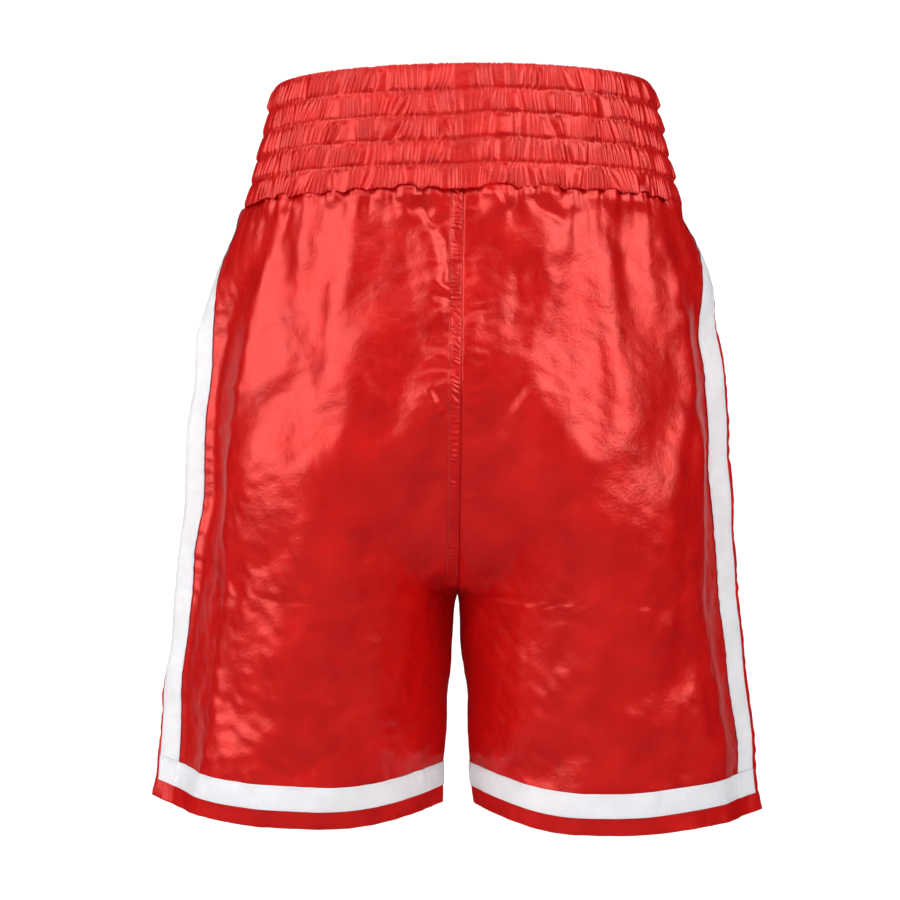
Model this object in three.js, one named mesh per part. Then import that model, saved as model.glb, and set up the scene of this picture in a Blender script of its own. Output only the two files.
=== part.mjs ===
// Boxing shorts in their worn shape: an open shell of sewn cloth pieces.
// Millimetres. +X is the wearer's left, the front faces -Y and +Z is up.
// The origin is the centre of the waist opening, level with the top edge at the side seams.
// A place on the body is given by its drop, measured down from the origin.
import * as THREE from "three";

// ---- Waistband ----
const WAIST_WIDTH = 302; // outside, at the top edge
const WAIST_DEPTH = 216;
const BAND_FOOT_WIDTH = 346; // outside, at the lower edge
const BAND_FOOT_DEPTH = 238;
const BAND_HEIGHT = 95;
const CHANNELS = 5; // gathered channels between the rows of stitching
const CHANNEL_PUFF = 1.5; // how far a channel stands out between two rows
const BACK_RISE = 5; // the waist is this much higher at the back, and lower at the front

// ---- Body ----
const SPRING_DROP = 146; // where the cloth has sprung out from under the band
const SPRING_WIDTH = 390;
const SPRING_DEPTHS = { back: 122, front: 114 }; // from the side seam
const HIP_DROP = 218;
const HIP_WIDTH = 420;
const HIP_DEPTHS = { back: 128, front: 113 };
const CROTCH_DROP = 402;
const CROTCH_WIDTH = 449;
const CROTCH_DEPTHS = { back: 101, front: 92 };
const SIDE_LENGTH = 570;
const HEM_WIDTH = 485;
const HEM_DEPTHS = { back: 78, front: 72 };
const HEM_DIP = 14; // the hem hangs this much lower between its seams
const PARTING_DROP = 150; // the seat starts to part into two legs here
const LEG_GAP = 24; // between the two inseams at the hem
const LEG_GAP_EASING = 0.75; // below 1, the gap opens faster near the crotch

// ---- Cloth, tape and thread ----
const CLOTH = 1.2;
const ELASTIC = 2.1;
const TAPE = 0.8;
const TAPE_WIDTH = 19;
const TAPE_INSET = 14; // cloth left bare between a tape and the panel's edge
const THREAD = 0.5;
const STITCH_INSET = 2; // from a tape's edge to its row of stitching
const OVERLOCK_INSET = 4; // from a panel's edge to the strand inside it
const FELL_WIDTH = 8.5; // the felled seam down the centre
const FELL_EDGE = 1.5; // from the centre seam to the nearer row of stitching
const SEAM_TUCK = 6.5; // how far the panels go up into the band
const LABEL_WIDTH = 34;
const LABEL_LENGTH = 42;

// ---- Clearances ----
const GAP = 0.3; // between pieces that lie on each other
const SEAM_GAP = 0.3; // between two panels that are sewn edge to edge

// ---- How finely the cloth is faceted ----
const BODY_ROWS = { spring: 3, hip: 2, seat: 8, leg: 3 };
const SEAT_EASING = 1.7; // above 1, the seat's rows draw together towards the crotch
const BODY_COLUMNS = 9;
const TAPE_STEP = 0.35; // the share of a column in which the hem tape steps over the side tape

// ---- Materials ----
const cloth = (name, color, roughness) =>
  new THREE.MeshStandardMaterial({ name, color, roughness, metalness: 0 });
const RED_SATIN = cloth("red_satin", 0xcf1518, 0.38);
const WHITE_SATIN = cloth("white_satin", 0xf1eff2, 0.42);
const RED_THREAD = cloth("red_thread", 0xb01014, 0.6);
const WHITE_THREAD = cloth("white_thread", 0xe9e7ea, 0.6);
const ELASTIC_WEB = cloth("elastic_web", 0xe6e2dc, 0.85);

const SIDES = [
  { name: "left", sign: 1 },
  { name: "right", sign: -1 },
];
const FACES = [
  { name: "back", sign: 1 },
  { name: "front", sign: -1 },
];

// ---- Shape of the body at any drop ----
// The slot inside the band, by how far its walls lie in from the band's outside.
const SLOT_OUTER = CLOTH;
const SLOT_INNER = SLOT_OUTER + GAP + ELASTIC + GAP;
const TUCK_INSET = (SLOT_OUTER + SLOT_INNER - CLOTH) / 2;

// A level is half a width, the back's and the front's depths, and the section's two powers:
// across a leg, t goes from -1 to 1 and the depth is multiplied by (1 - |t| ** flat) ** (1 / round).
const LEVEL_FIELDS = ["width", "back", "front", "flat", "round"];
const BAND_FOOT_REACH = BAND_FOOT_DEPTH / 2 - TUCK_INSET;
const LEVELS = [
  [BAND_HEIGHT, BAND_FOOT_WIDTH / 2 - TUCK_INSET, BAND_FOOT_REACH, BAND_FOOT_REACH, 2, 2],
  [SPRING_DROP, SPRING_WIDTH / 2, SPRING_DEPTHS.back, SPRING_DEPTHS.front, 2, 1.7],
  [HIP_DROP, HIP_WIDTH / 2, HIP_DEPTHS.back, HIP_DEPTHS.front, 2.05, 1.3],
  [CROTCH_DROP, CROTCH_WIDTH / 2, CROTCH_DEPTHS.back, CROTCH_DEPTHS.front, 2.1, 1.1],
  [SIDE_LENGTH, HEM_WIDTH / 2, HEM_DEPTHS.back, HEM_DEPTHS.front, 2.3, 1.05],
];
const levelCurve = new THREE.CubicInterpolant(
  LEVELS.map(([drop]) => drop),
  LEVELS.flatMap(([, ...values]) => values),
  LEVEL_FIELDS.length,
);

function bandHalfSizes(drop) {
  const share = drop / BAND_HEIGHT;
  return {
    width: THREE.MathUtils.lerp(WAIST_WIDTH, BAND_FOOT_WIDTH, share) / 2,
    depth: THREE.MathUtils.lerp(WAIST_DEPTH, BAND_FOOT_DEPTH, share) / 2,
  };
}

function bodyLevel(drop) {
  if (drop <= BAND_HEIGHT) {
    const { width, depth } = bandHalfSizes(drop);
    const reach = depth - TUCK_INSET;
    return { width: width - TUCK_INSET, back: reach, front: reach, flat: 2, round: 2 };
  }
  const values = levelCurve.evaluate(drop);
  return Object.fromEntries(LEVEL_FIELDS.map((field, i) => [field, values[i]]));
}

// A leg's section lies about its centre, half of it each way, and a panel covers it from t = start:
// from -1, a whole leg, below the crotch, and from 0, half of the body, where the seat is whole.
function legSpan(drop, halfWidth) {
  if (drop >= CROTCH_DROP) {
    const share = (drop - CROTCH_DROP) / (SIDE_LENGTH - CROTCH_DROP);
    const inner = (LEG_GAP / 2) * share ** LEG_GAP_EASING;
    return { centre: (halfWidth + inner) / 2, half: (halfWidth - inner) / 2, start: -1 };
  }
  const parting = (Math.max(0, drop - PARTING_DROP) / (CROTCH_DROP - PARTING_DROP)) ** 2;
  const reach = halfWidth / (1 + parting);
  return { centre: reach * parting, half: reach, start: -parting };
}

const waistShare = (drop) => 1 - THREE.MathUtils.smoothstep(drop, BAND_HEIGHT, HIP_DROP);
const hemShare = (drop) => THREE.MathUtils.smoothstep(drop, HIP_DROP, SIDE_LENGTH);

// One row of a panel, from its inner edge at t = 0 to the side seam at t = 1.
class PanelRow extends THREE.Curve {
  constructor(side, face, drop) {
    super();
    Object.assign(this, { side, face, drop, level: bodyLevel(drop) });
    this.span = legSpan(drop, this.level.width);
  }
  getPoint(t, target = new THREE.Vector3()) {
    const { level, span, drop, face, side } = this;
    const across = Math.sin(THREE.MathUtils.lerp(Math.asin(span.start), Math.PI / 2, t));
    const bulge = Math.max(0, 1 - Math.abs(across) ** level.flat) ** (1 / level.round);
    const lift = face.sign * BACK_RISE * waistShare(drop) - HEM_DIP * hemShare(drop);
    const x = side.sign * (span.centre + span.half * across);
    return target.set(x, face.sign * level[face.name] * bulge, lift * bulge - drop);
  }
}

// ---- Solids ----
// The volume that an indexed surface holds, negative where its faces point in.
function signedVolume(points, index) {
  let sum = 0;
  for (let i = 0; i < index.length; i += 3) {
    const [a, b, c] = [0, 1, 2].map((corner) => points[index[i + corner]]);
    sum += a.dot(b.clone().cross(c)) / 6;
  }
  return sum;
}

// Joins loops of points into one closed solid, with flat ends unless they form a ring.
// The first half of a loop lies on the outer face and the rest on the inner face behind it, and
// the two faces are split along the same diagonals, so that a sheet is as thick as it says.
function loft(loops, ring = false) {
  const size = loops[0].length;
  const outer = size / 2;
  const index = [];
  const quad = (a, b, c, d) => index.push(a, b, c, a, c, d);
  const steps = ring ? loops.length : loops.length - 1;
  for (let step = 0; step < steps; step++) {
    const here = step * size;
    const next = ((step + 1) % loops.length) * size;
    for (let i = 0; i < size; i++) {
      const k = (i + 1) % size;
      if (i < outer) quad(here + i, here + k, next + k, next + i);
      else quad(here + k, next + k, next + i, here + i);
    }
  }
  if (!ring) {
    const last = (loops.length - 1) * size;
    for (let i = 0; i < outer - 1; i++) {
      const [far, nearer] = [size - 1 - i, size - 2 - i];
      quad(i, far, nearer, i + 1);
      quad(last + i, last + i + 1, last + nearer, last + far);
    }
  }
  const points = loops.flat();
  if (signedVolume(points, index) < 0) index.reverse();
  const geometry = new THREE.BufferGeometry().setFromPoints(points).setIndex(index);
  geometry.computeVertexNormals();
  return geometry;
}

const range = (from, to) => Array.from({ length: to - from + 1 }, (_, i) => from + i);

// The places that split a stretch into equal steps, or into shrinking ones with an easing above 1.
const evenly = (from, to, count, easing = 1) =>
  range(1, count).map((i) => THREE.MathUtils.lerp(from, to, 1 - (1 - i / count) ** easing));

// ---- The panels' grid ----
// The rows' drops, with one row on each edge of the hem tape.
const HEM_TAPE_FOOT = SIDE_LENGTH - TAPE_INSET;
const HEM_TAPE_TOP = HEM_TAPE_FOOT - TAPE_WIDTH;
const ROWS = [
  BAND_HEIGHT - SEAM_TUCK,
  BAND_HEIGHT,
  ...evenly(BAND_HEIGHT, SPRING_DROP, BODY_ROWS.spring),
  ...evenly(SPRING_DROP, HIP_DROP, BODY_ROWS.hip),
  ...evenly(HIP_DROP, CROTCH_DROP, BODY_ROWS.seat, SEAT_EASING),
  ...evenly(CROTCH_DROP, HEM_TAPE_TOP, BODY_ROWS.leg),
  HEM_TAPE_FOOT,
  SIDE_LENGTH,
];
const BAND_ROW = 1; // at the band's lower edge
const TRIM_ROW = 2; // where tapes and body stitching start, clear of the band
const CROTCH_ROW = ROWS.indexOf(CROTCH_DROP);
const LAST_ROW = ROWS.length - 1;
const TAPE_FOOT_ROW = LAST_ROW - 1;
const TAPE_TOP_ROW = LAST_ROW - 2;
// Column 0 is the side seam, the side tape lies between columns 1 and 2, and the last is the inner edge.
const LAST_COLUMN = 2 + BODY_COLUMNS;

// The outer face of one panel as a grid of points, with the way out of the body at each.
class Panel {
  constructor(side, face) {
    Object.assign(this, { side, face });
    this.curves = ROWS.map((drop) => new PanelRow(side, face, drop));
    this.lengths = this.curves.map((curve) => curve.getLength());
    this.points = this.curves.map((curve, row) =>
      this.distances(row).map((distance) => curve.getPointAt(1 - distance / this.lengths[row])),
    );
    this.outward = this.points.map((line, row) => line.map((_, column) => this.wayOut(row, column)));
  }
  // How far each column is from the side seam, along the cloth.
  distances(row) {
    const tapeInner = TAPE_INSET + TAPE_WIDTH;
    return [0, TAPE_INSET, tapeInner, ...evenly(tapeInner, this.lengths[row], BODY_COLUMNS)];
  }
  wayOut(row, column) {
    const [above, below] = [Math.max(row - 1, 0), Math.min(row + 1, LAST_ROW)];
    const [outer, inner] = [Math.max(column - 1, 0), Math.min(column + 1, LAST_COLUMN)];
    const along = this.points[below][column].clone().sub(this.points[above][column]);
    const across = this.points[row][inner].clone().sub(this.points[row][outer]);
    return along.cross(across).normalize().multiplyScalar(this.side.sign * this.face.sign);
  }
  // A place between grid lines, raised off the outer face, and kept on this panel's side of its seams.
  at(row, column, height) {
    const r = Math.min(Math.floor(row), LAST_ROW - 1);
    const c = Math.min(Math.floor(column), LAST_COLUMN - 1);
    const onLine = (line) => line[c].clone().lerp(line[c + 1], column - c);
    const mix = (grid) => onLine(grid[r]).lerp(onLine(grid[r + 1]), row - r);
    const place = mix(this.points).addScaledVector(mix(this.outward).normalize(), height);
    place.x = this.side.sign * Math.max(this.side.sign * place.x, SEAM_GAP / 2);
    place.y = this.face.sign * Math.max(this.face.sign * place.y, SEAM_GAP / 2);
    return place;
  }
  // The column that lies this far from the inner edge.
  columnFromInner(row, distance) {
    const columnWidth = (this.lengths[row] - TAPE_INSET - TAPE_WIDTH) / BODY_COLUMNS;
    return LAST_COLUMN - distance / columnWidth;
  }
  // A sheet on the cloth, from low to high above it. columns, low and high may depend on the place.
  sheet(rows, columns, low, high) {
    const strip = (row, across, height) => across.map((column) => this.at(row, column, height(row, column)));
    return loft(
      rows.map((row) => [...strip(row, columns(row), high), ...strip(row, columns(row).toReversed(), low)]),
    );
  }
}

const always = (value) => () => value;

// ---- Tapes and their stitching ----
const ON_CLOTH = GAP;
const ON_TAPE = GAP + TAPE + GAP;
const HALF_THREAD = THREAD / 2;
const TAPE_STITCHES = [
  { name: "outer", inset: STITCH_INSET },
  { name: "inner", inset: TAPE_WIDTH - STITCH_INSET },
];

function sideTapePieces(panel, label) {
  const tapeRows = range(TRIM_ROW, TAPE_FOOT_ROW);
  const tape = panel.sheet(tapeRows, always([1, 2]), always(ON_CLOTH), always(ON_CLOTH + TAPE));
  const pieces = [[`side_tape_${label}`, tape, WHITE_SATIN]];
  for (const { name, inset } of TAPE_STITCHES) {
    const columns = [inset - HALF_THREAD, inset + HALF_THREAD].map((distance) => 1 + distance / TAPE_WIDTH);
    const rows = range(TRIM_ROW, TAPE_TOP_ROW);
    const strand = panel.sheet(rows, always(columns), always(ON_TAPE), always(ON_TAPE + THREAD));
    pieces.push([`side_tape_stitch_${name}_${label}`, strand, WHITE_THREAD]);
  }
  return pieces;
}

// The hem tape steps up over the end of the side tape.
function hemTapePieces(panel, label) {
  const columns = always([1, 2, 2 + TAPE_STEP, ...range(3, LAST_COLUMN)]);
  const raised = (height) => (_, column) => height + (column <= 2 ? TAPE + GAP : 0);
  const tape = panel.sheet([TAPE_TOP_ROW, TAPE_FOOT_ROW], columns, raised(ON_CLOTH), raised(ON_CLOTH + TAPE));
  const pieces = [[`hem_tape_${label}`, tape, WHITE_SATIN]];
  for (const { name, inset } of TAPE_STITCHES) {
    const edges = [inset + HALF_THREAD, inset - HALF_THREAD];
    const rows = edges.map((distance) => TAPE_FOOT_ROW - distance / TAPE_WIDTH);
    const strand = panel.sheet(rows, columns, raised(ON_TAPE), raised(ON_TAPE + THREAD));
    pieces.push([`hem_tape_stitch_${name}_${label}`, strand, WHITE_THREAD]);
  }
  return pieces;
}

// ---- Seams ----
function strandAlongInner(panel, rows, distance, low) {
  const columns = (row) =>
    [distance + HALF_THREAD, distance - HALF_THREAD].map((place) => panel.columnFromInner(row, place));
  return panel.sheet(rows, columns, always(low), always(low + THREAD));
}

// The felled centre seam lies on the wearer's left, with a row of stitching at each of its edges.
function centreSeamPieces(panel) {
  const rows = range(TRIM_ROW, CROTCH_ROW - 1);
  const { name } = panel.face;
  return [
    [`${name}_centre_stitch_edge`, strandAlongInner(panel, rows, FELL_EDGE, ON_CLOTH), RED_THREAD],
    [`${name}_centre_stitch_fell`, strandAlongInner(panel, rows, FELL_WIDTH, ON_CLOTH), RED_THREAD],
  ];
}

// The side seam and the inseam are overlocked inside the leg, on the back panel.
function overlockPieces(panel) {
  const low = -CLOTH - GAP - THREAD;
  const edges = [OVERLOCK_INSET - HALF_THREAD, OVERLOCK_INSET + HALF_THREAD];
  const columns = always(edges.map((distance) => distance / TAPE_INSET));
  const side = panel.sheet(range(TRIM_ROW, LAST_ROW), columns, always(low), always(low + THREAD));
  const inseam = strandAlongInner(panel, range(CROTCH_ROW + 1, LAST_ROW), OVERLOCK_INSET, low);
  const { name } = panel.side;
  return [
    [`side_seam_overlock_${name}`, side, RED_THREAD],
    [`inseam_overlock_${name}`, inseam, RED_THREAD],
  ];
}

function panelPieces(panel) {
  const label = `${panel.face.name}_${panel.side.name}`;
  const cloth = panel.sheet(range(0, LAST_ROW), always(range(0, LAST_COLUMN)), always(-CLOTH), always(0));
  const pieces = [[`${panel.face.name}_panel_${panel.side.name}`, cloth, RED_SATIN]];
  pieces.push(...sideTapePieces(panel, label), ...hemTapePieces(panel, label));
  if (panel.side.name === "left") pieces.push(...centreSeamPieces(panel));
  if (panel.face.name === "back") pieces.push(...overlockPieces(panel));
  return pieces;
}

// ---- Waistband ----
// The band is faceted at the panels' own columns, so that cloth lies flat on cloth.
function bandAngles(panels) {
  const quarter = (side, face) => {
    const panel = panels.find((candidate) => candidate.side === side && candidate.face === face);
    return panel.distances(BAND_ROW).map((distance) => {
      const t = panel.curves[BAND_ROW].getUtoTmapping(1 - distance / panel.lengths[BAND_ROW]);
      const angle = (face.sign * (1 - t) * Math.PI) / 2;
      return side.sign > 0 ? angle : Math.PI - angle;
    });
  };
  return SIDES.flatMap((side) => {
    const [back, front] = FACES.map((face) => quarter(side, face));
    const frontToBack = [...front.toReversed(), ...back.slice(1)];
    const round = side.sign > 0 ? frontToBack : frontToBack.toReversed();
    return round.slice(0, -1);
  });
}

// A place on the band: round it by angle, down it by drop, and out from its outside by offset.
function bandPlace(angle, drop, offset) {
  const { width, depth } = bandHalfSizes(drop);
  const [cos, sin] = [Math.cos(angle), Math.sin(angle)];
  const out = new THREE.Vector3(cos / width, sin / depth, 0).normalize();
  return new THREE.Vector3(width * cos, depth * sin, BACK_RISE * sin - drop).addScaledVector(out, offset);
}

const bandLoop = (angle, profile) => profile.map(([drop, offset]) => bandPlace(angle, drop, offset));
const bandRing = (angles, profile) => loft(angles.map((angle) => bandLoop(angle, profile)), true);

// A flat strip on the band, from its foot up to its top, between two offsets.
const stripProfile = (top, foot, inner, outer) => [
  [foot, inner],
  [foot, outer],
  [top, outer],
  [top, inner],
];
const strandProfile = (drop, low) => stripProfile(drop - HALF_THREAD, drop + HALF_THREAD, low, low + THREAD);

const CHANNEL_PITCH = BAND_HEIGHT / CHANNELS;

// One length of satin folded over the elastic: gathered outside, plain inside, open along the foot.
function casingProfile() {
  const inside = -SLOT_INNER - CLOTH;
  const channels = range(1, CHANNELS).flatMap((channel) => {
    const foot = BAND_HEIGHT - (channel - 1) * CHANNEL_PITCH;
    return [
      [foot, 0],
      [foot - CHANNEL_PITCH / 2, CHANNEL_PUFF],
    ];
  });
  return [
    ...channels,
    [CLOTH, 0],
    [0, -CLOTH],
    [0, inside + CLOTH],
    [CLOTH, inside],
    [BAND_HEIGHT, inside],
    [BAND_HEIGHT, -SLOT_INNER],
    [CLOTH + GAP, -SLOT_INNER],
    [CLOTH + GAP, -SLOT_OUTER],
    [BAND_HEIGHT, -SLOT_OUTER],
  ];
}

function waistbandPieces(angles) {
  const elasticTop = CLOTH + 2 * GAP;
  const elasticFoot = BAND_HEIGHT - SEAM_TUCK - GAP;
  const elasticOuter = -SLOT_OUTER - GAP;
  const elastic = stripProfile(elasticTop, elasticFoot, elasticOuter - ELASTIC, elasticOuter);
  const seamInset = SEAM_TUCK / 2;
  const puffAtSeam = (CHANNEL_PUFF * (seamInset + HALF_THREAD)) / (CHANNEL_PITCH / 2);
  const seam = strandProfile(BAND_HEIGHT - seamInset, puffAtSeam + GAP);
  const pieces = [
    ["waistband_casing", bandRing(angles, casingProfile()), RED_SATIN],
    ["waist_elastic", bandRing(angles, elastic), ELASTIC_WEB],
    ["waist_seam_stitch", bandRing(angles, seam), RED_THREAD],
  ];
  for (const row of range(1, CHANNELS - 1)) {
    const strand = bandRing(angles, strandProfile(row * CHANNEL_PITCH, GAP));
    pieces.push([`waistband_stitch_row_${row}`, strand, RED_THREAD]);
  }
  return pieces;
}

// A blank label lies inside the band at the centre back, sewn in at its lower edge.
function labelPieces() {
  const back = Math.PI / 2;
  const halfAngle = Math.asin(LABEL_WIDTH / BAND_FOOT_WIDTH);
  const outer = -SLOT_INNER - CLOTH - GAP;
  const profile = stripProfile(BAND_HEIGHT - LABEL_LENGTH, BAND_HEIGHT - GAP, outer - TAPE, outer);
  const label = loft([back - halfAngle, back, back + halfAngle].map((angle) => bandLoop(angle, profile)));
  return [["care_label", label, WHITE_SATIN]];
}

// ---- Assembly ----
function sewn(pieces) {
  const group = new THREE.Group();
  for (const [name, geometry, material] of pieces) {
    const mesh = new THREE.Mesh(geometry, material);
    mesh.name = name;
    group.add(mesh);
  }
  return group;
}

const panels = SIDES.flatMap((side) => FACES.map((face) => new Panel(side, face)));
const shorts = new THREE.Group();
shorts.add(...panels.map((panel) => sewn(panelPieces(panel))));
shorts.add(sewn([...waistbandPieces(bandAngles(panels)), ...labelPieces()]));

export default shorts;
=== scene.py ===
"""Red satin boxing shorts in their worn shape, seen from behind.

The CAD frame gives the sizes. The cloth is made here as grids of points: four panels, a gathered
waistband, tapes, seams and stitches. A place on a panel is (row, column): rows go down the cloth
and columns go in from the side seam.
"""

import math

import bpy
import numpy as np
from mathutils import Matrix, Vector


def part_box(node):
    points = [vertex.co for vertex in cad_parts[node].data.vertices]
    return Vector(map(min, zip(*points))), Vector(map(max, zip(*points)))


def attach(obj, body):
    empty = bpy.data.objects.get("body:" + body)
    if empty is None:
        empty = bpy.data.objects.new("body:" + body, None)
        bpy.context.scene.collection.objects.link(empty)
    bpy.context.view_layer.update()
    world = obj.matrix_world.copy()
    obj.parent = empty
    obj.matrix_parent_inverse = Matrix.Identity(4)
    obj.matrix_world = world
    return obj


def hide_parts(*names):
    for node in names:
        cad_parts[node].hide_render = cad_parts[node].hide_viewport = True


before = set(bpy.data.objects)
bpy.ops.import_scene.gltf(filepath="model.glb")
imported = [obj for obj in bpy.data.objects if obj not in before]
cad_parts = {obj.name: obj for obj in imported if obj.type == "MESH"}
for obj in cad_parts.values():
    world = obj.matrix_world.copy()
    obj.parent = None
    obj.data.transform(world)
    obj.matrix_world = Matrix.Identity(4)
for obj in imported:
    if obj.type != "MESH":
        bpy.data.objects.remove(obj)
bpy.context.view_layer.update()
MM = 0.001

# ---------------------------------------------------------------- sizes from the frame
casing_low, casing_high = (np.array(corner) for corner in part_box("waistband_casing"))
back_low, back_high = (np.array(corner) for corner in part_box("back_panel_left"))
front_low = np.array(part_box("front_panel_left")[0])
label_low, label_high = (np.array(corner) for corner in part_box("care_label"))

BACK_RISE = casing_high[2]
BAND_HEIGHT = -casing_low[2] - BACK_RISE
CHANNEL_PUFF = 1.5 * MM
BAND_FOOT = (casing_high[0], casing_high[1] - CHANNEL_PUFF / 2)
WAIST = (BAND_FOOT[0] - 22 * MM, BAND_FOOT[1] - 11 * MM)
HEM_HALF_WIDTH = back_high[0]
HEM_DIP = 14 * MM
SIDE_LENGTH = -back_low[2] - HEM_DIP
HIP_REACH = {"back": back_high[1], "front": -front_low[1]}

# ---------------------------------------------------------------- the cut of the shorts
CHANNELS = 5
SPRING_DROP = 146 * MM
HIP_DROP = 218 * MM
CROTCH_DROP = 402 * MM
PARTING_DROP = 150 * MM
LEG_GAP = 24 * MM
SEAM_TUCK = 6.5 * MM
TAPE_WIDTH = 19 * MM
TAPE_INSET = 14 * MM
TAPE_INNER = TAPE_INSET + TAPE_WIDTH
CLOTH = 0.5 * MM
FELL = (1.5 * MM, 8.5 * MM)
CHANNEL_PITCH = BAND_HEIGHT / CHANNELS
TUCK_INSET = 2.5 * MM
# Half a width, the back's and the front's reach, and the section's two powers at each drop.
LEVELS = (
    (BAND_HEIGHT, BAND_FOOT[0] - TUCK_INSET, BAND_FOOT[1] - TUCK_INSET, BAND_FOOT[1] - TUCK_INSET, 2, 2),
    (SPRING_DROP, 0.804 * HEM_HALF_WIDTH, 0.95 * HIP_REACH["back"], HIP_REACH["front"], 2, 1.7),
    (HIP_DROP, 0.866 * HEM_HALF_WIDTH, HIP_REACH["back"], HIP_REACH["front"], 2.05, 1.3),
    (CROTCH_DROP, 0.926 * HEM_HALF_WIDTH, 0.79 * HIP_REACH["back"], 0.8 * HIP_REACH["front"], 2.1, 1.1),
    (SIDE_LENGTH, HEM_HALF_WIDTH, 0.61 * HIP_REACH["back"], 0.62 * HIP_REACH["front"], 2.3, 1.05),
)
SIDES = {"left": 1, "right": -1}
FACES = {"back": 1, "front": -1}


# ---------------------------------------------------------------- small maths
def smooth(low, high, value):
    share = np.clip((value - low) / (high - low), 0, 1)
    return share * share * (3 - 2 * share)


def hump(value, centre, width):
    return np.exp(-(((value - centre) / width) ** 2))


def waves(across, down, length, seed, count=18, grain=1.0):
    """A smooth random field, about -1 to 1, of ripples of about this length."""
    rng = np.random.default_rng(seed)
    total = np.zeros(np.broadcast(across, down).shape)
    for _ in range(count):
        angle = rng.uniform(0, math.pi)
        pitch = length * rng.uniform(0.7, 1.5)
        phase = rng.uniform(0, 2 * math.pi)
        along = across * math.cos(angle) + down * math.sin(angle) * grain
        total += np.sin(2 * math.pi * along / pitch + phase)
    return total / math.sqrt(2 * count)


def monotone(drops, knots, values):
    """A smooth curve through the values that doesn't swing past them."""
    slopes = np.diff(values) / np.diff(knots)
    tangents = np.concatenate([slopes[:1], (slopes[:-1] + slopes[1:]) / 2, slopes[-1:]])
    spans = np.clip(np.searchsorted(knots, drops) - 1, 0, len(knots) - 2)
    width = knots[spans + 1] - knots[spans]
    t = np.clip((drops - knots[spans]) / width, 0, 1)
    rise = (2 * t**3 - 3 * t**2 + 1) * values[spans] + (3 * t**2 - 2 * t**3) * values[spans + 1]
    lean = (t**3 - 2 * t**2 + t) * tangents[spans] + (t**3 - t**2) * tangents[spans + 1]
    return rise + lean * width


def cubic_weights(places, count):
    """A matrix that reads a line of count values at fractional places, smoothly."""
    base = np.clip(np.floor(places).astype(int), 0, count - 2)
    t = places - base
    taps = (
        (-0.5 * t**3 + t**2 - 0.5 * t, -1),
        (1.5 * t**3 - 2.5 * t**2 + 1, 0),
        (-1.5 * t**3 + 2 * t**2 + 0.5 * t, 1),
        (0.5 * t**3 - 0.5 * t**2, 2),
    )
    weights = np.zeros((len(places), count))
    lines = np.arange(len(places))
    for value, step in taps:
        np.add.at(weights, (lines, np.clip(base + step, 0, count - 1)), value)
    return weights


def resample(grid, row_places, column_places):
    rows = cubic_weights(row_places, grid.shape[0])
    columns = cubic_weights(column_places, grid.shape[1])
    return np.einsum("ri,ijk,cj->rck", rows, grid, columns, optimize=True)


def unit(vectors):
    return vectors / np.maximum(np.linalg.norm(vectors, axis=-1, keepdims=True), 1e-12)


def outward(grid, turn):
    down = np.gradient(grid, axis=0)
    across = np.gradient(grid, axis=1)
    return unit(np.cross(down, across)) * turn


# ---------------------------------------------------------------- meshes
def make_object(name, points, faces, smooth_faces=True):
    mesh = bpy.data.meshes.new(name)
    mesh.from_pydata(points.reshape(-1, 3).tolist(), [], faces)
    mesh.update()
    mesh.polygons.foreach_set("use_smooth", [smooth_faces] * len(mesh.polygons))
    piece = bpy.data.objects.new(name, mesh)
    bpy.context.scene.collection.objects.link(piece)
    return piece


def grid_quads(rows, columns, start=0, turned=False):
    index = start + np.arange(rows * columns).reshape(rows, columns)
    quads = np.stack([index[:-1, :-1], index[:-1, 1:], index[1:, 1:], index[1:, :-1]], axis=-1)
    quads = quads.reshape(-1, 4)
    return quads[:, ::-1] if turned else quads


def lay_uv(piece, places):
    """Gives each corner the place of its point on the flat cloth, in metres."""
    layer = piece.data.uv_layers.new(name="cloth")
    corners = np.zeros(len(piece.data.loops), dtype=int)
    piece.data.loops.foreach_get("vertex_index", corners)
    layer.data.foreach_set("uv", places[corners].astype(np.float32).ravel())


def sheet_piece(name, outer, inner, turned, flat_places):
    """A closed sheet from its two faces, given as grids of points."""
    rows, columns = outer.shape[:2]
    count = rows * columns
    index = np.arange(count).reshape(rows, columns)
    rim = np.concatenate([index[0, :-1], index[:-1, -1], index[-1, :0:-1], index[:0:-1, 0]])
    following = np.roll(rim, -1)
    edge = np.stack([following, rim, rim + count, following + count], axis=-1)
    if turned:
        edge = edge[:, ::-1]
    faces = np.concatenate(
        [grid_quads(rows, columns, 0, turned), grid_quads(rows, columns, count, not turned), edge]
    )
    piece = make_object(name, np.concatenate([outer.reshape(-1, 3), inner.reshape(-1, 3)]), faces.tolist())
    lay_uv(piece, np.concatenate([flat_places.reshape(-1, 2)] * 2))
    return piece


# ---------------------------------------------------------------- the body's shape
def level_at(drops):
    knots = np.array([level[0] for level in LEVELS])
    return [monotone(drops, knots, np.array([level[i] for level in LEVELS])) for i in range(1, 6)]


def seat_curve(rise):
    """How far out the centre seam lies, as a share of the reach, this high above the crotch."""
    turn = np.sqrt(np.clip(1 - (1 - np.clip(rise / (58 * MM), 0, 1)) ** 2, 0, 1))
    return 0.72 * turn + 0.28 * smooth(0, 190 * MM, rise)


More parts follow.
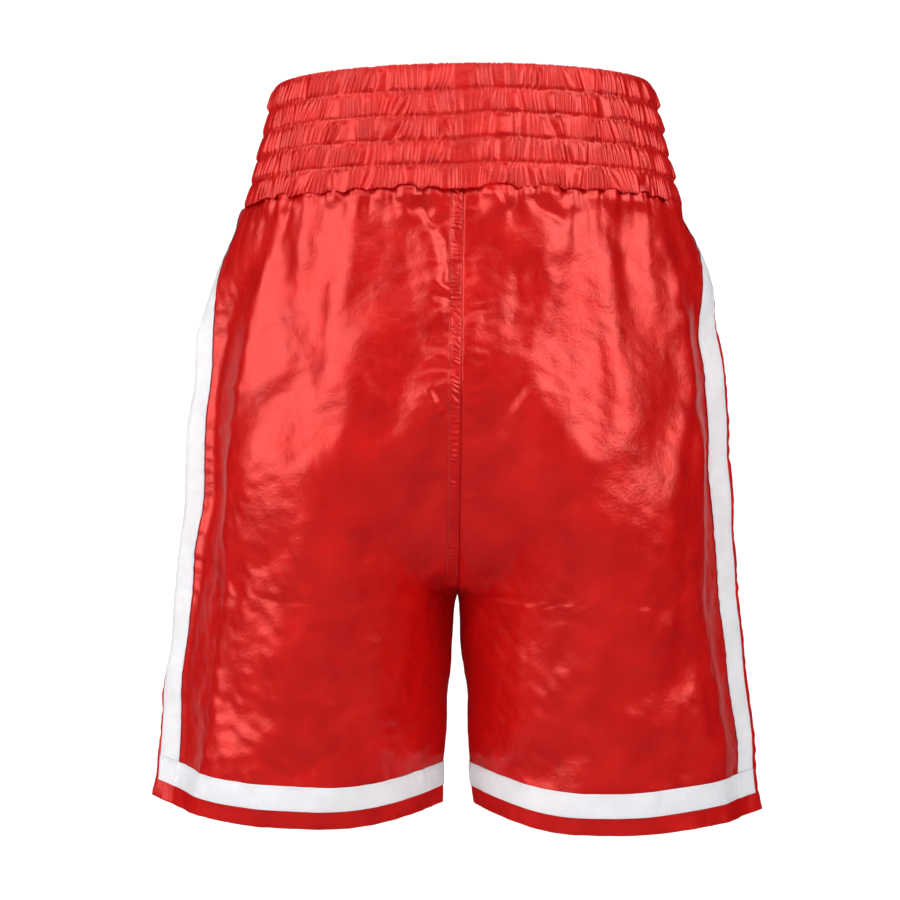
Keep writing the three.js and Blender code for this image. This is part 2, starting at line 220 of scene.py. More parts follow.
def body_line(drop, face, side, samples=500):
    """The cloth's line at one drop, from the outermost point of the side in to the inner edge."""
    half_width, back, front, flat, round_ = (float(value[0]) for value in level_at(np.array([drop])))
    reach = back if face == "back" else front
    if drop >= CROTCH_DROP:
        opened = ((drop - CROTCH_DROP) / (SIDE_LENGTH - CROTCH_DROP)) ** 0.75
        inner = LEG_GAP / 2 * opened
        centre, half, start, floor = (half_width + inner) / 2, (half_width - inner) / 2, -1.0, -1.0
    else:
        parting = float(smooth(PARTING_DROP, CROTCH_DROP, drop)) ** 1.1
        centre, half, start = half_width * parting / (1 + parting), half_width / (1 + parting), -parting
        centre_share = float(seat_curve(CROTCH_DROP - drop))
        floor = -min((1 - centre_share**round_) ** (1 / flat), parting)
    phase = np.linspace(math.pi / 2, math.asin(start), samples)
    across = np.sin(phase)
    softness = 0.22 * (1 + floor) + 1e-4
    held = floor + softness * np.logaddexp(0, (across - floor) / softness)
    held = np.where(across > floor + 6 * softness, across, held)
    bulge = np.clip(1 - np.abs(held) ** flat, 0, None) ** (1 / round_)
    depth = side_edge(half * (1 - across), reach * bulge, drop, face, side)
    waist_share = 1 - smooth(BAND_HEIGHT, HIP_DROP, drop)
    hem_share = smooth(HIP_DROP, SIDE_LENGTH, drop)
    lift = FACES[face] * BACK_RISE * waist_share - HEM_DIP * hem_share
    x = SIDES[side] * (centre + half * across)
    line = np.stack([x, FACES[face] * depth, lift * bulge - drop], axis=-1)
    if drop >= CROTCH_DROP:
        line[-1, 1] = 0
    else:
        line[-1, 0] = 0
    line[0, 1] = 0
    return line


# How the cloth lies beside the side: a flat edge held by the tape, a valley, and the body's bulge.
EDGE_SLOPE = 0.74
VALLEY = {("back", "left"): (17 * MM, 44 * MM), ("back", "right"): (15 * MM, 32 * MM)}


def side_edge(inwards, depth, drop, face, side):
    """Flattens the cloth beside the side seam, this far in from the outermost point."""
    starts = float(smooth(BAND_HEIGHT + 20 * MM, HIP_DROP - 10 * MM, drop))
    tape_end, bulge_start = VALLEY.get((face, side), (16 * MM, 38 * MM))
    sinks = 1 - 0.8 * float(smooth(300 * MM, 480 * MM, drop))
    edge = EDGE_SLOPE * np.minimum(inwards, tape_end)
    edge += 0.30 * np.clip(inwards - tape_end, 0, None)
    share = smooth(tape_end * (1 - 0.4 * (1 - sinks)), bulge_start, inwards) ** (1 + 0.8 * sinks)
    flat = edge + (depth - edge) * share
    return depth + (np.minimum(flat, depth) - depth) * starts


SEAM_FORWARD = {  # how far forward of the outermost point the side seam lies, at each drop
    "left": ((95, 30), (120, 25), (157, 20), (193, 16.5), (217, 14), (430, 13), (570, 7)),
    "right": ((95, 27), (122, 25), (152, 12), (190, 9), (300, 8), (430, 8), (570, 7)),
}


def seam_shift(drop, side):
    drops, shifts = np.array(SEAM_FORWARD[side]).T * MM
    return float(monotone(np.array([drop]), drops, shifts)[0])


def section(drop, face, side):
    """The cloth's line at one drop, from the side seam in to the inner edge."""
    shift = seam_shift(drop, side)
    line = body_line(drop, face, side)
    front = body_line(drop, "front", side)
    lengths = np.concatenate([[0], np.cumsum(np.linalg.norm(np.diff(front, axis=0), axis=1))])
    if face == "back":
        steps = np.linspace(shift, 0, 30)[:-1]
        around = np.stack([np.interp(steps, lengths, front[:, i]) for i in range(3)], axis=-1)
        return np.concatenate([around, line])
    start = np.array([np.interp(shift, lengths, front[:, i]) for i in range(3)])
    return np.concatenate([start[None], front[lengths > shift + 0.01 * MM]])


def lay_columns(line, column_places):
    """Places columns on a line: 0 to 1 across the bare strip and the tape, and 1 to 2 over the rest."""
    steps = np.linalg.norm(np.diff(line, axis=0), axis=1)
    lengths = np.concatenate([[0], np.cumsum(steps)])
    total = lengths[-1]
    distances = np.where(
        column_places <= 1,
        column_places * TAPE_INNER,
        TAPE_INNER + (column_places - 1) * (total - TAPE_INNER),
    )
    return np.stack([np.interp(distances, lengths, line[:, i]) for i in range(3)], axis=-1), distances


TOP_DROP = BAND_HEIGHT - SEAM_TUCK


def base_grid(face, side, drops, column_places):
    laid = [lay_columns(section(drop, face, side), column_places) for drop in drops]
    return np.stack([points for points, _ in laid]), np.stack([distances for _, distances in laid])


# ---------------------------------------------------------------- cloth simulation of the body
COARSE_ABOVE, COARSE_BELOW = 46, 26
COARSE_TAPE, COARSE_REST = 6, 38
coarse_drops = np.concatenate(
    [
        np.linspace(TOP_DROP, CROTCH_DROP, COARSE_ABOVE + 1),
        np.linspace(CROTCH_DROP, SIDE_LENGTH, COARSE_BELOW + 1)[1:],
    ]
)
coarse_columns = np.concatenate(
    [np.linspace(0, 1, COARSE_TAPE + 1), np.linspace(1, 2, COARSE_REST + 1)[1:]]
)
PANELS = [(face, side) for side in SIDES for face in FACES]


def coarse_place_of_drop(drops):
    return np.interp(drops, coarse_drops, np.arange(len(coarse_drops)))


def coarse_place_of_column(places):
    return np.interp(places, coarse_columns, np.arange(len(coarse_columns)))


coarse = {panel: base_grid(*panel, coarse_drops, coarse_columns)[0] for panel in PANELS}
SIM_SCALE = 10.0  # the cloth solver is steadier on a body several metres tall
SIM_FRAMES = 36
SIM_CLAMP = 9 * MM
CLOTH_FEEL = {
    "quality": 7,
    "mass": 0.15,
    "tension_stiffness": 18,
    "compression_stiffness": 18,
    "shear_stiffness": 4,
    "bending_stiffness": 0.06,
    "tension_damping": 6,
    "compression_damping": 6,
    "shear_damping": 6,
    "bending_damping": 0.5,
    "air_damping": 2,
    "pin_stiffness": 2.5,
}


def gather_share(drop):
    """How much wider the cloth was cut than the shape it is held in."""
    return 0.24 * (1 - smooth(BAND_HEIGHT, SPRING_DROP + 50 * MM, drop)) + 0.035


def hold(distances):
    """How firmly each point keeps its place: the seams and tapes hold, and open cloth is loose."""
    drops = coarse_drops[:, None] + 0 * distances
    firm = 0.012 + 0 * distances
    firm = np.maximum(firm, 0.5 * (1 - smooth(TAPE_INNER - 6 * MM, TAPE_INNER + 14 * MM, distances)))
    from_inner = distances.max(axis=1, keepdims=True) - distances
    firm = np.maximum(firm, 0.35 * (1 - smooth(2 * MM, 22 * MM, from_inner)))
    firm = np.maximum(firm, 0.4 * smooth(SIDE_LENGTH - 50 * MM, SIDE_LENGTH - 10 * MM, drops))
    firm = np.maximum(firm, 1 - smooth(BAND_HEIGHT - 1 * MM, BAND_HEIGHT + 12 * MM, drops))
    return firm


def simulate_body():
    """Sews the panels edge to edge, lets the spare cloth buckle, and reads the panels back."""
    grids = [coarse[panel] for panel in PANELS]
    stacked = np.concatenate([grid.reshape(-1, 3) for grid in grids])
    _, first, joined = np.unique(
        np.round(stacked / (0.01 * MM)).astype(int), axis=0, return_index=True, return_inverse=True
    )
    joined = joined.ravel()
    points = stacked[first]
    size = grids[0].shape[0] * grids[0].shape[1]
    faces = np.concatenate(
        [
            grid_quads(*grids[0].shape[:2], start=i * size, turned=FACES[face] * SIDES[side] < 0)
            for i, (face, side) in enumerate(PANELS)
        ]
    )
    # Soft dents give the spare cloth somewhere to start folding.
    x, down = points[:, 0], -points[:, 2]
    dents = waves(x, down * 0.35, 34 * MM, 71) * (1 - smooth(BAND_HEIGHT, 260 * MM, down))
    dents = 1.5 * MM * dents + 1.6 * MM * waves(x, down, 70 * MM, 72)
    dents *= smooth(BAND_HEIGHT, BAND_HEIGHT + 14 * MM, down)
    aside = unit(points * np.array([0.35, 1.0, 0.0]))
    start = points + aside * dents[:, None]
    body = make_object("cloth_in_hand", start * SIM_SCALE, joined[faces].tolist())
    body.shape_key_add(name="worn")
    cut = body.shape_key_add(name="cut")
    wider = 1 + gather_share(-points[:, 2])
    flat = points * np.stack([wider, wider, np.full(len(points), 1.012)], axis=-1) * SIM_SCALE
    cut.data.foreach_set("co", flat.astype(np.float32).ravel())
    group = body.vertex_groups.new(name="held")
    firm = np.zeros(len(points))
    for i, panel in enumerate(PANELS):
        distances = base_grid(*panel, coarse_drops, coarse_columns)[1]
        np.maximum.at(firm, joined[i * size : (i + 1) * size], hold(distances).ravel())
    for point, share in enumerate(firm):
        group.add([point], float(share), "REPLACE")
    cloth = body.modifiers.new("cloth", "CLOTH")
    settings = cloth.settings
    for name, value in CLOTH_FEEL.items():
        setattr(settings, name, value)
    settings.vertex_group_mass = "held"
    settings.rest_shape_key = cut
    settings.effector_weights.gravity = 0.15
    cloth.collision_settings.use_self_collision = False
    cloth.collision_settings.use_collision = False
    cloth.point_cache.frame_start = 1
    cloth.point_cache.frame_end = SIM_FRAMES
    scene = bpy.context.scene
    for step in range(1, SIM_FRAMES + 1):
        scene.frame_set(step)
    settled = body.evaluated_get(bpy.context.evaluated_depsgraph_get())
    moved = np.zeros(len(points) * 3, dtype=np.float32)
    settled.data.vertices.foreach_get("co", moved)
    moved = moved.reshape(-1, 3).astype(float) / SIM_SCALE
    scene.frame_set(1)
    bpy.data.objects.remove(body)
    shift = moved - points
    far = np.linalg.norm(shift, axis=1, keepdims=True)
    shift *= np.where(far > 0, SIM_CLAMP * np.tanh(far / SIM_CLAMP) / np.maximum(far, 1e-9), 1)
    moved = points + shift
    shape = grids[0].shape
    return {panel: moved[joined[i * size : (i + 1) * size]].reshape(shape) for i, panel in enumerate(PANELS)}


coarse = simulate_body()

# ---------------------------------------------------------------- the waistband's line and its gathers
FINE_ROUND, FACING_ROUND, HIDDEN_ROUND = 1440, 720, 240
FACING_OFFSET = -5.1 * MM
CHANNEL_ROWS = (1.0, 0.95, 0.89, 0.81, 0.70, 0.57, 0.43, 0.29, 0.17, 0.07)


def band_angles(count):
    """Places round the band, evenly spaced along its foot, from the wearer's left."""
    angles = np.linspace(0, 2 * math.pi, 4001)
    ring = np.stack([BAND_FOOT[0] * np.cos(angles), BAND_FOOT[1] * np.sin(angles)], axis=-1)
    lengths = np.concatenate([[0], np.cumsum(np.linalg.norm(np.diff(ring, axis=0), axis=1))])
    even = np.linspace(0, lengths[-1], count, endpoint=False)
    return np.interp(even, lengths, angles), even, lengths[-1]


_, _, BAND_ROUND = band_angles(8)
BACK_PLACE = BAND_ROUND / 4  # the centre back, by distance round from the wearer's left


def place_of(x, y):
    """The place round the band nearest above a point."""
    angle = np.arctan2(y / BAND_FOOT[1], x / BAND_FOOT[0]) % (2 * math.pi)
    angles, places, _ = band_angles(2000)
    return np.interp(angle, np.append(angles, 2 * math.pi), np.append(places, BAND_ROUND))


def band_points(angles, drop, offset):
    share = drop / BAND_HEIGHT
    width = WAIST[0] + (BAND_FOOT[0] - WAIST[0]) * share
    depth = WAIST[1] + (BAND_FOOT[1] - WAIST[1]) * share
    cos, sin = np.cos(angles), np.sin(angles)
    out = unit(np.stack([cos / width, sin / depth, 0 * cos], axis=-1))
    base = np.stack([width * cos, depth * sin, BACK_RISE * sin - drop], axis=-1)
    return base + out * np.asarray(offset)[..., None]


def round_waves(place, length, seed, count=10, down=0.0):
    """Ripples round the band that meet themselves at the wearer's left."""
    rng = np.random.default_rng(seed)
    total = np.zeros(np.broadcast(place, down).shape)
    for _ in range(count):
        turns = max(1, round(BAND_ROUND / (length * rng.uniform(0.7, 1.5))))
        phase = rng.uniform(0, 2 * math.pi) + down * rng.uniform(-2.5, 2.5)
        total += np.sin(2 * math.pi * turns * place / BAND_ROUND + phase)
    return total / math.sqrt(2 * count)


def pleats(place, pitch, seed, lean=0.0, wander=0.55):
    """Rounded ridges with sharp valleys between them, 0 to 1."""
    turns = round(BAND_ROUND / pitch)
    phase = turns * place / BAND_ROUND + wander * round_waves(place, 5 * pitch, seed) + lean
    return np.abs(np.sin(math.pi * phase))


def join_share(place):
    """1 at the centre-back join of the elastic, where the satin is hardly gathered."""
    return hump(place - BACK_PLACE, 3 * MM, 12 * MM)


# Where spare cloth of the body pushes out under the band's foot: place from the centre back,
# half width and height, in millimetres. Positive places are towards the wearer's right.
LOOPS = [
    (-153, 9, 3.4), (-128, 12, 1.5), (-104, 8, 1.6), (-83, 9, 2.4), (-64, 11, 1.8), (-44, 11, 3.8),
    (-24, 7, 1.5), (8, 6, 1.0), (27, 15, 4.4), (50, 9, 1.8), (66, 12, 3.4), (88, 9, 1.6), (106, 9, 1.8),
    (121, 9, 3.0), (139, 8, 1.4), (153, 9, 3.2), (170, 9, 1.4), (-172, 10, 1.8),
]
loop_rng = np.random.default_rng(5)
for spot in np.arange(192, 700, 21):
    LOOPS.append((spot + loop_rng.uniform(-6, 6), loop_rng.uniform(7, 13), loop_rng.uniform(1.0, 3.6)))


def loops(place):
    """Height of the loops of spare cloth at each place round the band."""
    height = np.zeros_like(place)
    for spot, half, size in LOOPS:
        from_spot = (place - BACK_PLACE - spot * MM + BAND_ROUND / 2) % BAND_ROUND - BAND_ROUND / 2
        share = np.clip(1 - (from_spot / (half * MM)) ** 2, 0, 1)
        height = np.maximum(height, size * MM * share**0.8)
    return height


def casing_relief(place, drop):
    """How far the gathered outside of the band stands off the elastic."""
    channel = np.clip(np.floor(drop / CHANNEL_PITCH + 1e-9), 0, CHANNELS - 1)
    share = np.clip(drop / CHANNEL_PITCH - channel, 0, 1)
    lowest = channel == CHANNELS - 1
    # The cloth sags in each channel: it fills out downwards and then turns in sharply at the row.
    tuck = np.where(lowest, 1 - 0.45 * smooth(0.9, 1.0, share), 1 - smooth(0.84, 1.0, share))
    sag = smooth(0.0, 0.22, share) * (0.45 + 0.55 * smooth(0.1, 0.85, share)) * tuck
    relief = np.zeros_like(place + drop)
    fine = pleats(place, 5.0 * MM, 31, wander=0.7)
    for number in range(CHANNELS):
        seed = 40 + number
        lean = (share - 0.5) * (0.1 + 0.6 * round_waves(place, 60 * MM, seed + 5))
        loose = pleats(place, 7.8 * MM, seed, lean=lean, wander=0.85)
        small = pleats(place, 4.9 * MM, seed + 60, lean=lean * 1.5, wander=0.8)
        mixed = smooth(-0.3, 0.5, round_waves(place, 45 * MM, seed + 21))
        chosen = loose * mixed + small * 0.62 * (1 - mixed)
        height = fine * 0.5 * (1 - smooth(0.0, 0.35, share)) + chosen * smooth(0.0, 0.35, share)
        strength = 1.0 + 0.4 * round_waves(place, 26 * MM, seed + 9)
        relief = np.where(channel == number, 2.6 * MM * strength * height, relief)
    quiet = 1 - 0.8 * join_share(place)
    puff = 0.5 * MM * np.minimum(1, 3.2 * sag)
    join_edge = 0.5 * MM * hump(place - BACK_PLACE, -8 * MM, 0.9 * MM)
    return puff + relief * (0.42 + 0.58 * sag) * quiet - join_edge - 1.2 * MM


# ---------------------------------------------------------------- the fine panels
FINE = {"back": (176, 96, 18, 132), "front": (140, 76, 14, 104)}  # rows above and below, columns


def fine_grid(face, side):
    above, below, tape, rest = FINE[face]
    drops = np.concatenate(
        [np.linspace(TOP_DROP, CROTCH_DROP, above + 1), np.linspace(CROTCH_DROP, SIDE_LENGTH, below + 1)[1:]]
    )
    places = np.concatenate([np.linspace(0, 1, tape + 1), np.linspace(1, 2, rest + 1)[1:]])
    grid = resample(coarse[face, side], coarse_place_of_drop(drops), coarse_place_of_column(places))
    _, distances = base_grid(face, side, drops, places)
    return grid, drops, places, distances


# Folds laid one by one: from and to (across, drop), half width and height in millimetres, and sharp or not.
FOLDS = {
    ("back", "left"): (
        ((33, 104), (12, 132), 6.5, -4.2, False), ((14, 126), (6, 168), 7, -4.4, False),
        ((8, 160), (7, 200), 6, -1.8, False), ((24, 112), (16, 128), 4, 1.6, False),
        ((52, 104), (33, 112), 3, -2.0, True), ((60, 98), (40, 122), 9, 1.6, False),
        ((50, 180), (152, 282), 20, 2.4, False), ((104, 140), (148, 252), 15, -2.6, False),
        ((76, 128), (92, 190), 14, 1.4, False), ((120, 112), (150, 150), 12, 1.4, False),
        ((3, 172), (26, 160), 2.4, 1.5, True), ((3, 178), (24, 172), 2.6, -1.9, True),
        ((3, 184), (22, 186), 2.4, 1.3, True), ((3, 196), (20, 206), 3.0, -1.3, True),
        ((3, 222), (30, 212), 2.6, 1.5, True), ((3, 229), (27, 226), 3.0, -1.9, True),
        ((3, 238), (20, 240), 2.4, 1.1, True), ((26, 240), (13, 268), 2.4, 1.4, True),
        ((21, 240), (8, 262), 4.0, -1.5, False), ((5, 150), (20, 143), 2.4, 1.2, True),
        ((28, 262), (86, 250), 12, 1.2, False), ((70, 262), (110, 330), 15, -1.4, False),
        ((186, 190), (170, 196), 4, 1.3, False), ((186, 244), (168, 240), 4.5, 1.5, False),
        ((188, 276), (172, 268), 4, 1.2, False), ((196, 380), (178, 470), 7, 0.8, False),
        ((184, 420), (166, 540), 6, -0.9, False), ((160, 500), (150, 560), 7, 0.6, False),
        ((60, 420), (95, 520), 22, 0.9, False), ((110, 330), (128, 440), 16, 0.8, False),
    ),
    ("back", "right"): (
        ((-14, 94), (-33, 112), 5, 1.6, False), ((-26, 92), (-35, 116), 3, -2.2, True),
        ((-50, 98), (-76, 124), 6, -3.2, False), ((-64, 96), (-88, 112), 7, 1.8, False),
        ((-17, 100), (-70, 178), 14, 1.8, False), ((-46, 140), (-42, 214), 8, -2.4, False),
        ((-60, 130), (-66, 200), 9, 1.4, False), ((-50, 228), (-16, 284), 8, -2.6, False),
        ((-62, 236), (-40, 262), 6, 1.2, False), ((-3, 186), (-18, 182), 2.6, -1.4, True),
        ((-3, 193), (-16, 192), 2.4, 1.0, True), ((-3, 226), (-18, 220), 2.8, -1.2, True),
        ((-88, 130), (-150, 250), 20, 1.6, False), ((-116, 112), (-128, 160), 9, -1.5, False),
        ((-148, 118), (-160, 165), 8, -1.6, False), ((-177, 160), (-172, 182), 5, -2.6, False),
        ((-188, 238), (-172, 316), 6, -2.4, False), ((-170, 250), (-160, 330), 9, 1.2, False),
        ((-178, 325), (-187, 545), 7, 1.0, False), ((-168, 340), (-176, 520), 7, -0.9, False),
        ((-106, 430), (-84, 500), 18, 0.9, False), ((-60, 330), (-110, 420), 20, -0.9, False),
        ((-2, 372), (-24, 380), 4, 1.2, False),
    ),
    ("front", "left"): (
        ((40, 110), (60, 190), 14, 2.0, False), ((90, 118), (130, 210), 16, -2.0, False),
        ((10, 300), (60, 360), 12, 1.6, False), ((12, 330), (70, 400), 12, -1.4, False),
        ((120, 330), (110, 470), 20, 1.2, False),
    ),
    ("front", "right"): (
        ((-36, 108), (-70, 200), 15, 1.8, False), ((-100, 120), (-120, 230), 14, -2.0, False),
        ((-8, 306), (-66, 372), 12, 1.7, False), ((-10, 340), (-60, 410), 12, -1.5, False),
        ((-130, 300), (-120, 480), 22, 1.1, False),
    ),
}


class Panel:
    """One panel's outer face as a fine grid, with each point's place on the flat cloth."""

    def __init__(self, face, side):
        self.face, self.side = face, side
        self.grid, self.drops, self.places, self.distances = fine_grid(face, side)
        self.turn = FACES[face] * SIDES[side]
        self.seed = 10 * (1 + list(FACES).index(face)) + 100 * (1 + list(SIDES).index(side))
        self.normals = outward(self.grid, self.turn)
        self.grid = self.grid + self.normals * self.relief()[..., None]

    def relief(self):
        """How far the cloth stands off its smooth shape."""
        down = self.drops[:, None] + 0 * self.distances
        across = self.distances
        x, y = self.grid[..., 0], self.grid[..., 1]
        from_inner = across.max(axis=1, keepdims=True) - across
        seed = self.seed
        below = down - BAND_HEIGHT
        # Loops of spare cloth under the band, with sharp small pleats between them.
        place = place_of(x, y)
        size = loops(place)
        reach = 4 * MM + 3.4 * size
        lower = np.clip(below, 0, None)
        relief = 1.5 * size * smooth(-6 * MM, -1 * MM, below) * np.exp(-((lower / reach) ** 2))
        pinch = pleats(place, 6.4 * MM, 63, lean=below * 12, wander=0.8) - 0.6
        relief += 1.3 * MM * pinch * np.exp(-((lower / (7 * MM)) ** 2))
        long_gathers = pleats(place, 17 * MM, 64, lean=below * 3, wander=0.9) - 0.6
        fade = smooth(0, 12 * MM, below) * np.exp(-lower / (24 * MM))
        relief += 1.5 * MM * fade * long_gathers * (0.6 + 0.5 * waves(across, down * 0.2, 50 * MM, seed + 2))
        relief += 1.6 * MM * smooth(0, 6 * MM, below) * np.exp(-lower / (22 * MM))
        # Wide soft undulations, then the small crumples of a light satin.
        open_cloth = smooth(TAPE_INNER - 4 * MM, TAPE_INNER + 30 * MM, across)
        open_cloth = open_cloth * smooth(SIDE_LENGTH, SIDE_LENGTH - 60 * MM, down)
        relief += 2.6 * MM * open_cloth * waves(across, down, 95 * MM, seed + 3, grain=0.6)
        leg = smooth(300 * MM, 400 * MM, down)
        relief += (0.20 + 0.3 * leg) * MM * (0.3 + open_cloth) * waves(across, down, 33 * MM, seed + 4)
        relief += (0.12 + 0.09 * leg) * MM * (0.5 + open_cloth) * waves(across, down, 15 * MM, seed + 5)
        relief += 0.05 * MM * waves(across, down, 7.5 * MM, seed + 14, count=26)
        # Tape stitching draws the cloth up in short puckers.
        near_tape = hump(across, TAPE_INSET - 5 * MM, 6 * MM) + hump(across, TAPE_INNER + 3 * MM, 5 * MM)
        relief += 0.5 * MM * near_tape * waves(across * 0.25, down, 10 * MM, seed + 6)
        near_hem = hump(down, SIDE_LENGTH - TAPE_INNER - 3 * MM, 7 * MM) + hump(down, SIDE_LENGTH, 9 * MM)
        relief += 0.5 * MM * near_hem * waves(across, down * 0.25, 13 * MM, seed + 7)
        if self.face == "back":
            cheek = hump(np.abs(x), 118 * MM, 78 * MM) * hump(down, 322 * MM, 72 * MM)
            relief += 5.5 * MM * cheek * open_cloth
        relief += self.centre_puckers(from_inner, down)
        return relief + self.hand_folds(x, down)

    def centre_puckers(self, from_inner, down):
        above = 1 - smooth(CROTCH_DROP - 40 * MM, CROTCH_DROP - 8 * MM, down)
        start = 9 * MM if self.side == "left" else 1 * MM
        wide = np.exp(-from_inner / (15 * MM)) * smooth(start, start + 5 * MM, from_inner)
        long_puckers = waves(from_inner * 0.35, down, 14 * MM, self.seed + 8)
        sharp = 1 - 2 * np.abs(long_puckers).clip(0, 1)
        groove = 0.5 * MM * hump(from_inner, 0, 1.4 * MM) * (down < CROTCH_DROP)
        return (1.6 if self.side == "left" else 0.8) * MM * above * wide * sharp - groove

    def hand_folds(self, x, down):
        relief = np.zeros_like(x)
        for start, end, width, height, sharp in FOLDS.get((self.face, self.side), ()):
            a, b = np.array(start) * MM, np.array(end) * MM
            line = b - a
            long = np.hypot(*line)
            along = ((x - a[0]) * line[0] + (down - a[1]) * line[1]) / long**2
            aside = ((x - a[0]) * line[1] - (down - a[1]) * line[0]) / long
            aside = aside / (width * MM) + 0.28 * waves(x, down, 3.5 * width * MM, self.seed + 30, count=8)
            taper = smooth(-0.12, 0.3, along) * smooth(1.12, 0.7, along)
            relief += height * MM * taper * np.exp(-(np.abs(aside) ** (1.15 if sharp else 2)))
        return relief

    def at(self, drops, distances):
        """Points and ways out at drops and distances from the side seam, given as two grids."""
        rows = np.interp(drops, self.drops, np.arange(len(self.drops)))
        lower = np.clip(rows.astype(int), 0, len(self.drops) - 2)
        share = (rows - lower)[..., None]
        found = []
        for grid in (self.grid, self.way_out):
            lines = []
            for step in (0, 1):
                row = lower + step
                length = self.distances[row, -1]
                place = np.where(
                    distances <= TAPE_INNER,
                    distances / TAPE_INNER,
                    1 + (distances - TAPE_INNER) / (length - TAPE_INNER),
                )
                column = np.interp(place, self.places, np.arange(len(self.places)))
                left = np.clip(column.astype(int), 0, len(self.places) - 2)
                part = (column - left)[..., None]
                lines.append(grid[row, left] * (1 - part) + grid[row, left + 1] * part)
            found.append(lines[0] * (1 - share) + lines[1] * share)
        return found[0], unit(found[1])

    def width_at(self, drops):
        """How far the inner edge lies from the side seam at these drops."""
        return np.interp(drops, self.drops, self.distances[:, -1])

    def finish(self):
        self.way_out = outward(self.grid, self.turn)


panels = {panel: Panel(*panel) for panel in PANELS}


def seam_line(panel, edge, drops):
    return np.stack([np.interp(drops, panel.drops, panel.grid[:, edge, i]) for i in range(3)], axis=-1)


def sew(first, second, edge, keep):
    """Brings two panels' edges to the line halfway between them, and eases the cloth beside it."""
    reach = 6
    lines = {}
    for panel, other in ((first, second), (second, first)):
        lines[id(panel)] = (seam_line(other, edge, panel.drops) - panel.grid[:, edge]) / 2
    for panel in (first, second):
        gap = lines[id(panel)] * keep(panel.drops)[:, None]
        inward = 1 if edge == 0 else -1
        for step in range(reach):
            panel.grid[:, edge + inward * step] += gap * (1 - step / reach)


for side in SIDES:
    sew(panels["back", side], panels["front", side], 0, lambda drops: np.ones_like(drops))
    sew(panels["back", side], panels["front", side], -1, lambda drops: 1.0 * (drops >= CROTCH_DROP))
for face in FACES:
    sew(panels[face, "left"], panels[face, "right"], -1, lambda drops: 1.0 * (drops < CROTCH_DROP))
for panel in panels.values():
    panel.finish()


# ---------------------------------------------------------------- how the shorts hang
def settle(points):
    """The lean and sag of real shorts on a form: the hem is higher on the wearer's left."""
    points = points.copy()
    x, down = points[..., 0].copy(), -points[..., 2]
    share = smooth(0, SIDE_LENGTH, down)
    points[..., 0] += 1 * MM * share - 4 * MM * (1 - share) + 0.012 * share * x
    points[..., 0] += 0.013 * np.clip(x, 0, None) * hump(down, 225 * MM, 75 * MM)
    sag = 2.6 * hump(x, -70 * MM, 36 * MM) - 2.6 * hump(x, -185 * MM, 42 * MM)
    sag += 1.7 * hump(x, 75 * MM, 46 * MM)
    points[..., 2] += x * (0.024 * share - 0.008 * (1 - share)) - sag * MM * share**3
    return points


# ---------------------------------------------------------------- node materials
def feed(tree, target, value):
    """Links a socket, or writes a plain value, into a node's input."""
    if isinstance(value, Socket):
        tree.links.new(target, value.socket)
    else:
        target.default_value = value


class Socket:
    """A shader socket that can be used in arithmetic."""

    def __init__(self, tree, socket):
        self.tree, self.socket = tree, socket

    def math(self, operation, *values):
        node = self.tree.nodes.new("ShaderNodeMath")
        node.operation = operation
        for place, value in enumerate(values):
            feed(self.tree, node.inputs[place], value)
        return Socket(self.tree, node.outputs[0])

    def __add__(self, other):
        return self.math("ADD", self, other)

    __radd__ = __add__

    def __sub__(self, other):
        return self.math("SUBTRACT", self, other)

    def __rsub__(self, other):
        return self.math("SUBTRACT", other, self)

    def __mul__(self, other):
        return self.math("MULTIPLY", self, other)

    __rmul__ = __mul__


class Finish:
    """A material with its node tree, and one method that adds any node."""

    def __init__(self, name):
        self.material = bpy.data.materials.new(name)
        self.material.use_nodes = True
        self.tree = self.material.node_tree
        self.shader = self.tree.nodes["Principled BSDF"]

    def node(self, kind, output=0, settings=None, **sockets):
        node = self.tree.nodes.new(kind)
        for name, value in (settings or {}).items():
            setattr(node, name, value)
        for name, value in sockets.items():
            feed(self.tree, node.inputs[name.replace("_", " ")], value)
        return Socket(self.tree, node.outputs[output])

    def mix(self, share, first, second):
        node = self.tree.nodes.new("ShaderNodeMix")
        node.data_type = "RGBA"
        for place, value in ((0, share), (6, first), (7, second)):
            feed(self.tree, node.inputs[place], value)
        return Socket(self.tree, node.outputs[2])

    def cloth_places(self, scale):
        places = self.node("ShaderNodeUVMap", settings={"uv_map": "cloth"})
        return self.node("ShaderNodeMapping", Vector=places, Scale=scale)

    def object_places(self, scale):
        places = self.node("ShaderNodeTexCoord", output="Object")
        return self.node("ShaderNodeMapping", Vector=places, Scale=scale)

    def noise(self, places, scale=1.0, detail=2.0, roughness=0.5):
        return self.node("ShaderNodeTexNoise", Vector=places, Scale=scale, Detail=detail, Roughness=roughness)

    def bump(self, height, distance, strength=1.0):
        return self.node("ShaderNodeBump", Height=height, Distance=distance, Strength=strength)

    def set(self, **sockets):
        for name, value in sockets.items():
            feed(self.tree, self.shader.inputs[name.replace("_", " ")], value)
        return self.material


